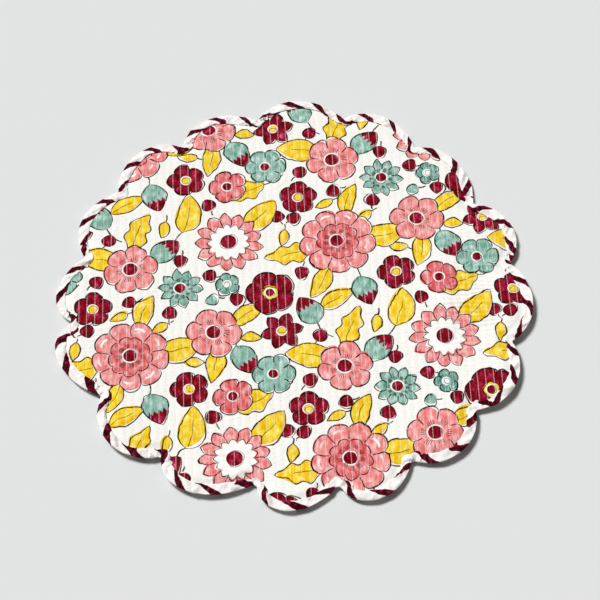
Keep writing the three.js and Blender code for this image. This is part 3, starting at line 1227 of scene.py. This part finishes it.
# %% [markdown]
# ## The binding
# A strip cut on the bias can turn corners, so it is what a scalloped edge is bound with. It is swept
# round the rim as a flat C whose arms lie above and below the quilt. A curve with a bevel could sweep it
# too, but rings of points let the upper arm crumple, bunch up in the notches and fall short of its width.

# %% Binding sizes
TAPE_WIDTH = 9
TAPE_THICK = 0.35
CLEARANCE = 0.05  # between the tape and the cloth under it
Section = namedtuple("Section", "inward height")
TAPE_OUTSIDE = [
    Section(9.0, 0.5),
    Section(8.0, 0.15),
    Section(6.0, 0.2),
    Section(4.0, 0.65),
    Section(2.2, 0.95),
    Section(0.9, 1.1),
    Section(0.2, 1.2),
    Section(0.0, 1.9),
    Section(0.2, 2.45),
    Section(1.2, 2.66),
    Section(2.5, 2.8),
    Section(3.9, 2.92),
    Section(5.3, 3.02),
    Section(6.7, 3.08),
    Section(8.0, 3.05),
    Section(9.0, 2.75),
]
TOP_START = 8  # sections from here on lie on the upper side


def along_tape(rim):
    """Distance round the rim in mm, measured along the middle of the tape."""
    middle = drawn_in(rim, TAPE_WIDTH / 2)
    return np.concatenate([[0], np.cumsum(abs(np.roll(middle, -1) - middle))])


AROUND = float(along_tape(RIM)[-1])
print("tape length round the rim:", round(AROUND), "mm")

# %% Shape of the folds
Facets = namedtuple("Facets", "spacing height seed")
KNOT_SPREAD = (0.4, 1.6)  # least and greatest step between knots, in spacings
GATHER = 1.3
GATHER_REACH, GATHER_PITCH = 7, 3.8  # along the rim


def facet_heights(along, facets):
    """Straight slopes between random heights of 0 to height, as stiff cloth creases."""
    rng = np.random.default_rng(facets.seed)
    knots = np.cumsum(rng.uniform(*KNOT_SPREAD, int(AROUND / facets.spacing)) * facets.spacing)
    return np.interp(along, knots, rng.uniform(0, facets.height, len(knots)), period=AROUND)


def gathers(rim):
    """The tape's bunched folds in the notches, where it has more length than the edge."""
    angle = np.degrees(np.angle(rim)) % 360
    folds = np.zeros(len(rim))
    for k in range(LOBE_COUNT):
        away = (angle - notch_angle(k) + 180) % 360 - 180
        distance = np.radians(away) * abs(rim)
        bunched = 1 - abs(np.sin(distance * np.pi / GATHER_PITCH + k))
        folds += np.exp(-((distance / GATHER_REACH) ** 2)) * bunched
    return GATHER * folds


# %% Rings of the tape
EDGE_PLAY = Facets(5, 0.7, 13)  # how unevenly the fold's outer edge runs
SEWN_PLAY = Facets(3, 1, 14)  # and the sewn edge
MEAN_PLAY = 0.4
SHORTFALL = Facets(15, 2.8, 18)  # by which the upper arm falls short of its width
NOTCH_NARROWING = 2.2  # how much narrower a gathered fold makes it, for each mm of the fold's height

# A slant carries a crease so many mm along the tape for each mm across it.
TapeCrease = namedtuple("TapeCrease", "slant facets")
TAPE_CREASES = [
    TapeCrease(1, Facets(4.6, 2.5, 15)),
    TapeCrease(-0.6, Facets(3.2, 1.25, 16)),
    TapeCrease(2.2, Facets(8, 1.25, 19)),
]
CREASE_MIDDLE = 2.5
LOOSE_SECTIONS = 3  # over these the creases grow, from the fold inwards
SEWN_START = 2 / 3  # of the width, from where the sewing flattens them again
SEWN_DOWN = 0.85  # the share of their height that it takes away


def tape_ring(k, along, folds):
    """One line of the tape's outer side: how far it lies in from the rim all round, and how high."""
    section = TAPE_OUTSIDE[k]
    share = section.inward / TAPE_WIDTH
    play = facet_heights(along, EDGE_PLAY) * (1 - share) + facet_heights(along, SEWN_PLAY) * share
    reach = section.inward + play - MEAN_PLAY
    if k < TOP_START:
        return reach, section.height + rim_lift(drawn_in(RIM, reach))
    reach -= (facet_heights(along, SHORTFALL) + NOTCH_NARROWING * folds) * share**2
    plane = drawn_in(RIM, reach)
    creases = sum(facet_heights(along + c.slant * section.inward, c.facets) for c in TAPE_CREASES)
    sewn = SEWN_DOWN * smooth((share - SEWN_START) / (1 - SEWN_START))
    loose = smooth((k - TOP_START + 1) / LOOSE_SECTIONS) * (1 - sewn)
    height = section.height + rim_lift(plane) + shared_height(plane) * share
    height += (folds + creases - CREASE_MIDDLE) * loose
    return reach, np.maximum(height, face_height(plane, reach) + TAPE_THICK + CLEARANCE)


def into_fold(k):
    """The direction square to the tape at a section, from its outer side to its inner side."""
    before, after = TAPE_OUTSIDE[max(k - 1, 0)], TAPE_OUTSIDE[min(k + 1, len(TAPE_OUTSIDE) - 1)]
    run, rise = after.inward - before.inward, after.height - before.height
    return rise / math.hypot(run, rise), -run / math.hypot(run, rise)


# %% [markdown]
# The stripes are cut on the slant by the bias. The tape's place along and across the strip is kept in a
# UV map, so that the stripes follow it round, and small shifts of that place let them break at creases.

# %% Stripes on the tape
# The tape is joined from lengths. A slant of 1.2 carries a stripe's outer end 1.2 mm on, counter-clockwise,
# for each mm of width. Slant -1.2 is a length that was sewn in the other way up. First is the place of
# one stripe in mm round the rim.
Length = namedtuple("Length", "start end slant pitch first")
TAPE_LENGTHS = [
    Length(29, 162, 1.2, 23.3, 88),
    Length(162, 324, 1.2, 25.5, 559),
    Length(324, 368, -1.2, 23.4, 1130),
    Length(8, 29, -1.2, 24, 13),
]
SKEW, SKEW_MIDDLE = Facets(4.6, 3, 17), 1.5
HOOK, HOOK_MIDDLE = Facets(16, 10, 20), 5  # stripes turn aside near the sewn edge
HOOK_START, HOOK_WIDTH = 5.5, 3.5


def lay_tape(mesh, ring_count):
    """Writes at every corner how many stripes along and how many mm across the strip it lies."""
    along = along_tape(RIM)
    across = [s.inward if k >= TOP_START else -s.inward for k, s in enumerate(TAPE_OUTSIDE)]
    across = np.array(across + across[::-1] + across[:1])
    i, j = np.meshgrid(np.arange(len(RIM)), np.arange(ring_count), indexing="ij")
    i, j = i.ravel(), j.ravel()
    s = np.stack([along[i], along[i + 1], along[i + 1], along[i]], axis=1)
    t = np.stack([across[j], across[j], across[j + 1], across[j + 1]], axis=1)
    angle = np.degrees(np.angle(RIM[i])) % 360
    shift = facet_heights(s + t, SKEW) - SKEW_MIDDLE
    shift += (facet_heights(s, HOOK) - HOOK_MIDDLE) * smooth((t - HOOK_START) / HOOK_WIDTH)
    stripes = np.zeros_like(s)
    for length in TAPE_LENGTHS:
        here = ((angle - length.start) % 360) < length.end - length.start
        slanted = s + shift + length.slant * (t - TAPE_WIDTH / 2) - length.first
        stripes[here] = (slanted / length.pitch)[here]
    places = np.stack([stripes.ravel(), t.ravel()], axis=1).astype(np.float32)
    mesh.uv_layers.new(name="tape").data.foreach_set("uv", places.ravel())


# %% Binding mesh
def build_binding(material):
    along = along_tape(RIM)[:-1]
    folds = gathers(RIM)
    outside = [tape_ring(k, along, folds) for k in range(len(TAPE_OUTSIDE))]
    inside = []
    for k, (reach, height) in enumerate(outside):
        inward, up = into_fold(k)
        inside.append((reach + inward * TAPE_THICK, height + up * TAPE_THICK))
    rings = [upright(drawn_in(RIM, reach), height) for reach, height in outside + inside[::-1]]
    points = np.stack(rings, axis=1).reshape(-1, 3)
    count, n = len(RIM), len(rings)
    i, j = np.meshgrid(np.arange(count), np.arange(n), indexing="ij")
    i, j = i.ravel(), j.ravel()
    here, ahead, up = i * n, (i + 1) % count * n, (j + 1) % n
    faces = np.stack([here + j, ahead + j, ahead + up, here + up], axis=1)
    piece = new_piece("bias_binding", points, list(faces), [material])
    lay_tape(piece.data, n)
    return piece


# %% Striped tape material
STRIPE_HALF = 3.8  # along the rim
TAPE_WHITE, TAPE_WINE = linear(240, 235, 232), linear(74, 2, 19)
STRIPE_WANDER = Grain(5, 5, 1, 0.1)
TAPE_CLOUDS, THINNEST_DYE = Grain(3, 4, 1, 2.2), 0.4


def striped_tape():
    material = new_material("striped_tape")
    tree = material.node_tree
    place = add_node(tree, "ShaderNodeUVMap", uv_map="tape").outputs["UV"]
    stripes = parts_of(tree, place)[0] + sway(tree, STRIPE_WANDER)
    distance = zigzag(stripes + 0.5) * TAPE_LENGTHS[0].pitch
    stripe = blend(cover(distance - STRIPE_HALF), TAPE_WHITE, TAPE_WINE)
    density = larger(sway(tree, TAPE_CLOUDS) + 1, THINNEST_DYE)
    return cotton_finish(material, coat(stripe, density), weave(tree, TAPE_SLUBS))


binding = build_binding(striped_tape())
print("binding triangles:", triangle_count(binding))

# %% [markdown]
# ## Running stitches
# White thread runs along every seam, over and under the cloth. Thousands of small alike pieces along
# lines are what Geometry Nodes are for: the seams are given as lines, the tree cuts them into even steps
# and sets a thread at each, and then makes real mesh of them all.

# %% Stitch tree
Input = namedtuple("Input", "kind value")
STITCH_INPUTS = {
    "Stitch pitch": Input("NodeSocketFloat", STITCH * MM),
    "Thread length": Input("NodeSocketFloat", 1.1 * MM),  # from the middle of a stitch, as is the width
    "Thread width": Input("NodeSocketFloat", 0.11 * MM),
    "Seed": Input("NodeSocketInt", 5),
}
SMALLEST, LARGEST = 0.82, 1.12  # a stitch's size beside the given one


def stitch_tree(thread):
    tree = bpy.data.node_groups.new("running_stitches", "GeometryNodeTree")
    tree.interface.new_socket("Seams", in_out="INPUT", socket_type="NodeSocketGeometry")
    for name, row in STITCH_INPUTS.items():
        tree.interface.new_socket(name, in_out="INPUT", socket_type=row.kind).default_value = row.value
    tree.interface.new_socket("Stitches", in_out="OUTPUT", socket_type="NodeSocketGeometry")
    given = add_node(tree, "NodeGroupInput").outputs
    length, width = given["Thread length"], given["Thread width"]
    curve = add_node(tree, "GeometryNodeMeshToCurve", {"Mesh": given["Seams"]}).outputs["Curve"]
    pitch = {"Curve": curve, "Length": given["Stitch pitch"]}
    steps = add_node(tree, "GeometryNodeResampleCurve", pitch, mode="LENGTH")
    bead = add_node(tree, "GeometryNodeMeshIcoSphere", {"Radius": 1, "Subdivisions": 1})
    size = add_node(tree, "ShaderNodeCombineXYZ", {"X": length, "Y": width, "Z": width})
    limits = {"Min_001": SMALLEST, "Max_001": LARGEST, "Seed": given["Seed"]}
    varied = plug_of(add_node(tree, "FunctionNodeRandomValue", limits).outputs, "Value_001")
    scaled = {"Vector": size.outputs["Vector"], "Scale": varied}
    scale = add_node(tree, "ShaderNodeVectorMath", scaled, operation="SCALE")
    tangent = add_node(tree, "GeometryNodeInputTangent").outputs["Tangent"]
    turn = add_node(tree, "FunctionNodeAlignRotationToVector", {"Vector": tangent}, axis="X")
    put = add_node(tree, "GeometryNodeInstanceOnPoints", {
        "Points": steps.outputs["Curve"],
        "Instance": bead.outputs["Mesh"],
        "Rotation": turn.outputs["Rotation"],
        "Scale": scale.outputs["Vector"],
    })
    real = add_node(tree, "GeometryNodeRealizeInstances", {"Geometry": put.outputs["Instances"]})
    dressed = {"Geometry": real.outputs["Geometry"], "Material": thread}
    dress = add_node(tree, "GeometryNodeSetMaterial", dressed)
    tree.links.new(dress.outputs["Geometry"], add_node(tree, "NodeGroupOutput").inputs["Stitches"])
    return tree


# %% [markdown]
# The seams are chains of points, one for each stitch, laid on the same heights as the cloth. They stop
# just inside the binding. The thread goes over the cloth and under it in turn, so the lines of the under
# side are half a stitch on.

# %% Seam lines
SEAMS_EACH_WAY, STITCHES_EACH_WAY = 30, 70
THREAD_INWARD = TAPE_WIDTH + 0.6
SEAM_WANDER = Waves(0.12, 2, 20, 8)
TOP_RISE, UNDER_RISE = 0.02, -0.12  # the thread's place over each side of the cloth


def seam_lines(height_of, rise, shift):
    """Each seam as a chain of points on the cloth, in step with the dips of its stitches."""
    points, edges = [], []
    for seam in range(-SEAMS_EACH_WAY, SEAMS_EACH_WAY + 1):
        first = (shift - stitch_start(seam)) % 1
        line = seam * CHANNEL + 1j * (np.arange(-STITCHES_EACH_WAY, STITCHES_EACH_WAY) + first) * STITCH
        line = line + uneven(line, SEAM_WANDER)
        inward = inward_of(line)
        line, inward = line[inward > THREAD_INWARD], inward[inward > THREAD_INWARD]
        if len(line) < 2:
            continue
        base = len(points)
        points += upright(line, height_of(line, inward) + rise).tolist()
        edges += [(base + k, base + k + 1) for k in range(len(line) - 1)]
    return points, edges


# %% Sewing
def sew(name, tree, lines):
    """Runs the stitch tree on the seam lines and keeps its result as a plain mesh."""
    points, edges = lines
    mesh = bpy.data.meshes.new(name + "_seams")
    mesh.from_pydata((np.array(points) * MM).tolist(), edges, [])
    guide = bpy.data.objects.new(name + "_seams", mesh)
    bpy.context.collection.objects.link(guide)
    modifier = guide.modifiers.new("stitches", "NODES")
    modifier.node_group = tree
    for item in tree.interface.items_tree:
        if item.name in STITCH_INPUTS:
            modifier[item.identifier] = STITCH_INPUTS[item.name].value
    depsgraph = bpy.context.evaluated_depsgraph_get()
    made = bpy.data.meshes.new_from_object(guide.evaluated_get(depsgraph))
    made.name = name
    made.shade_smooth()
    guide.modifiers.remove(modifier)
    bpy.data.objects.remove(guide)
    piece = bpy.data.objects.new(name, made)
    bpy.context.collection.objects.link(piece)
    print(name, "triangles:", triangle_count(piece))
    return piece


# %% Thread and stitches
THREAD_LIGHT, THREAD_DARK = linear(246, 243, 238), linear(234, 229, 224)
TWIST = Grain(0.3, 0.5, 1)


def thread_cotton():
    material = new_material("sewing_thread")
    twist = noise(material.node_tree, TWIST)
    return cotton_finish(material, blend(twist, THREAD_LIGHT, THREAD_DARK), twist)


running = stitch_tree(thread_cotton())
stitches = sew("running_stitches", running, seam_lines(face_height, TOP_RISE, 0))
under_stitches = sew("under_stitches", running, seam_lines(under_height, UNDER_RISE, 0.5))

# %% [markdown]
# ## Studio
# The floor is plain and pale. One large far lamp stands at the back left, high up, so the lifted rim has a
# dark, soft-edged shadow on its near and right sides. The warm pale world fills the rest, as the walls of
# a white studio do.

# %% Floor and light
FLOOR = linear(216, 218, 218)
FLOOR_REACH, FLOOR_DROP = 4000, 0.3  # the drop keeps the floor from showing through the mat's under side
LAMP_TURN, LAMP_RISE = 140, 53  # degrees, counted from the right and from the floor
LAMP_POWER = 3.7
LAMP_SPREAD = 18  # degrees across, which softens the shadow's edge
FILL, FILL_COLOUR = 0.165, (1, 0.955, 0.925, 1)


def add_floor():
    material = new_material("floor")
    feed(material.node_tree.nodes["Principled BSDF"], {"Base Color": FLOOR, "Roughness": 1})
    corners = FLOOR_REACH * np.array([-1 - 1j, 1 - 1j, 1 + 1j, -1 + 1j])
    new_piece("floor", upright(corners, np.full(4, -FLOOR_DROP)), [(0, 1, 2, 3)], [material])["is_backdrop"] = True


def add_lamp():
    data = bpy.data.lights.new("left_softbox", "SUN")
    data.energy, data.angle = LAMP_POWER, math.radians(LAMP_SPREAD)
    lamp = bpy.data.objects.new("left_softbox", data)
    lamp.rotation_euler = (math.radians(90 - LAMP_RISE), 0, math.radians(LAMP_TURN + 90))
    bpy.context.collection.objects.link(lamp)


def add_fill():
    world = bpy.data.worlds.new("studio")
    world.use_nodes = True
    feed(world.node_tree.nodes["Background"], {"Color": FILL_COLOUR, "Strength": FILL})
    bpy.context.scene.world = world


add_floor()
add_lamp()
add_fill()
bpy.context.scene.view_settings.view_transform = "Standard"
print("lamp", LAMP_RISE, "degrees over the floor, fill", FILL)

# %% [markdown]
# ## Handing the pieces over
# Every piece moves with the mat's one body, and the solids of the frame that the pieces replace are hidden. The
# quilt is a sheet of cloth laid on the table, cut from a square as wide as the mat.

# %% Frame calls
plan_area = 0.5 * abs(np.sum(RIM.real * np.roll(RIM.imag, -1) - RIM.imag * np.roll(RIM.real, -1)))
width, length = np.ptp(RIM.real) * MM, np.ptp(RIM.imag) * MM
for piece in (quilt, binding, stitches, under_stitches):
    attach(piece, "root")
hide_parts("quilted_cloth")
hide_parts("scalloped_binding")
print("flat cut", round(width, 3), "by", round(length, 3), "m, area", round(plan_area * MM**2, 4), "m2")

# %% [markdown]
# The last cell keeps the sizes of the frame and of the dressed mat side by side.

# %% Sizes side by side
boxes = {"cad": CAD_BOX, "visual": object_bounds()}
{name: [list(corner) for corner in box] for name, box in boxes.items()}
